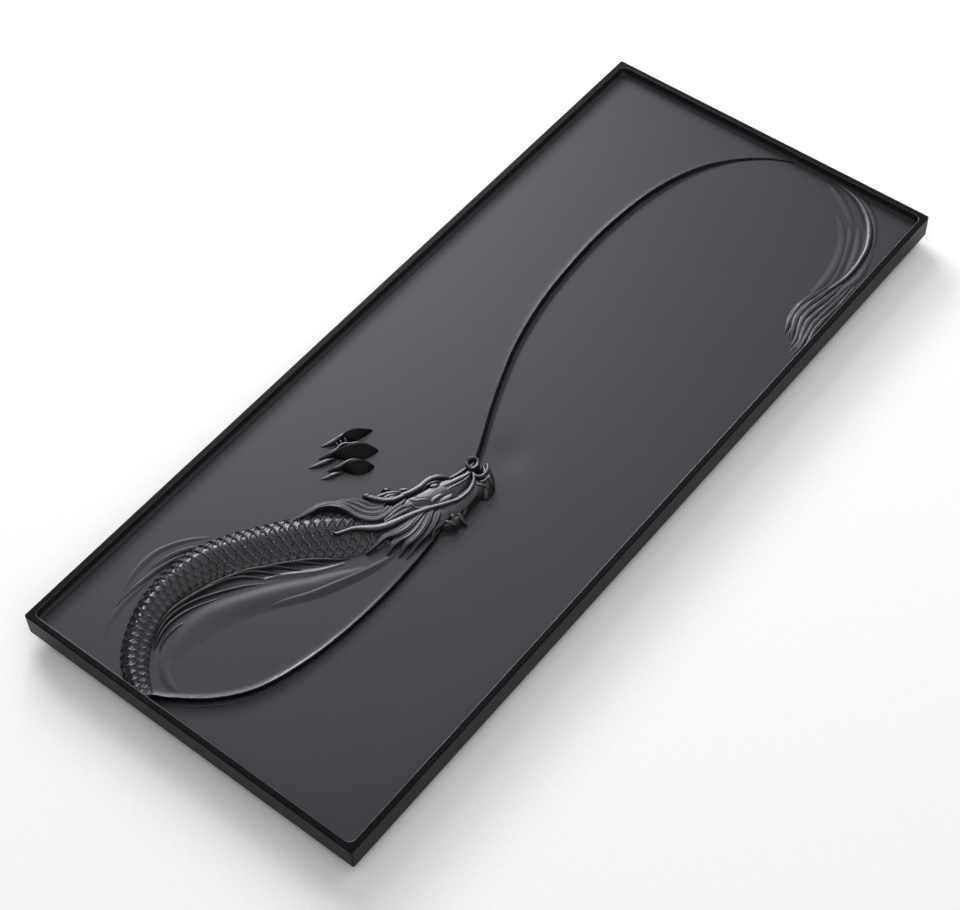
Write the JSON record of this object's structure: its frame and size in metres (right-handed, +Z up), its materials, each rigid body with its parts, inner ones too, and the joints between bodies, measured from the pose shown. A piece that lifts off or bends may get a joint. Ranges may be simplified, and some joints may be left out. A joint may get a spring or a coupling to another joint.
{
  "type": "carved stone tea tray",
  "caption": "Long black stone tray with a raised rim, a stepped pool floor, a dragon carved in relief and low rubber feet.",
  "frame": {"origin": "centre of the tray's outline on the surface that its feet stand on", "axes": "+X along the long side, +Y from the front long side to the back one, +Z up"},
  "size_m": [0.7, 0.3, 0.028],
  "materials": {
    "polished_stone": "honed black stone",
    "carved_stone": "hand-finished black stone",
    "foot_rubber": "matte",
    "glue_disc": "matte foam tape"
  },
  "bodies": {
    "root": {"stone_block": "polished_stone", "dragon_body": "carved_stone", "dorsal_fin": "carved_stone", "belly_fin": "carved_stone", "pool_crest": "carved_stone", "dragon_head": "carved_stone", "lower_jaw": "carved_stone", "horn": "carved_stone", "ear": "carved_stone", "upper_mane": "carved_stone", "beard": "carved_stone", "whisker": "carved_stone", "nostril_curl": "carved_stone", "back_claw": "carved_stone", "front_claw": "carved_stone", "tail_fin": "carved_stone", "tail_ridge": "carved_stone", "foot_front_left": "foot_rubber", "foot_front_middle": "foot_rubber", "foot_front_right": "foot_rubber", "foot_back_left": "foot_rubber", "foot_back_middle": "foot_rubber", "foot_back_right": "foot_rubber", "glue_disc_front_left": "glue_disc", "glue_disc_front_middle": "glue_disc", "glue_disc_front_right": "glue_disc", "glue_disc_back_left": "glue_disc", "glue_disc_back_middle": "glue_disc", "glue_disc_back_right": "glue_disc"}
  },
  "joints": []
}
